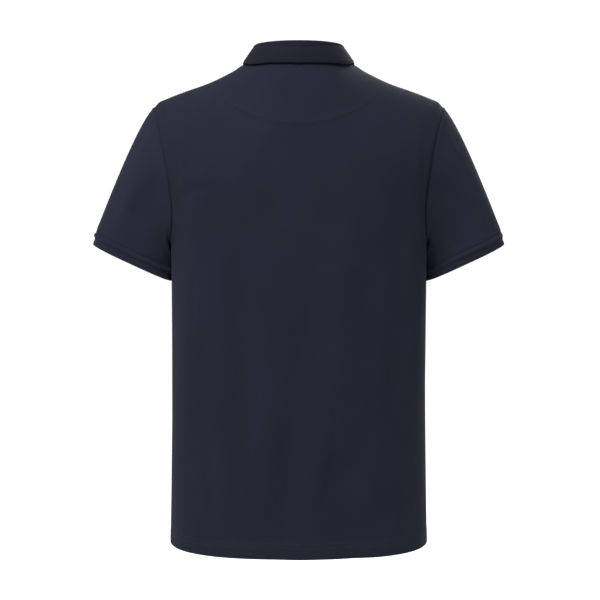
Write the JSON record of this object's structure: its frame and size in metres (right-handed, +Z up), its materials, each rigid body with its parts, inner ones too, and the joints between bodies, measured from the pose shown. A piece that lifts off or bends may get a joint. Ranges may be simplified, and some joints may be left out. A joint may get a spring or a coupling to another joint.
{
  "type": "polo shirt",
  "caption": "Men's short-sleeved polo shirt in plain navy pique knit, filled out as if worn, with a turned-down rib collar, rib cuffs and a buttoned placket.",
  "frame": {"origin": "midway between the two points where the shoulder seams meet the neck, where the wearer's neck and shoulders hold the shirt", "axes": "+Z up towards the collar, -Y out of the front, +X towards the wearer's left sleeve"},
  "size_m": [0.632, 0.2592, 0.7539],
  "materials": {
    "pique": "matte",
    "rib": "matte",
    "button": "gloss"
  },
  "bodies": {
    "root": {"back": "pique", "front": "pique", "sleeve_left": "pique", "sleeve_right": "pique", "cuff_left": "rib", "cuff_right": "rib", "collar": "rib", "placket_over": "pique", "placket_under": "pique", "neck_patch": "pique", "button_1": "button", "button_2": "button", "button_3": "button"}
  },
  "joints": []
}
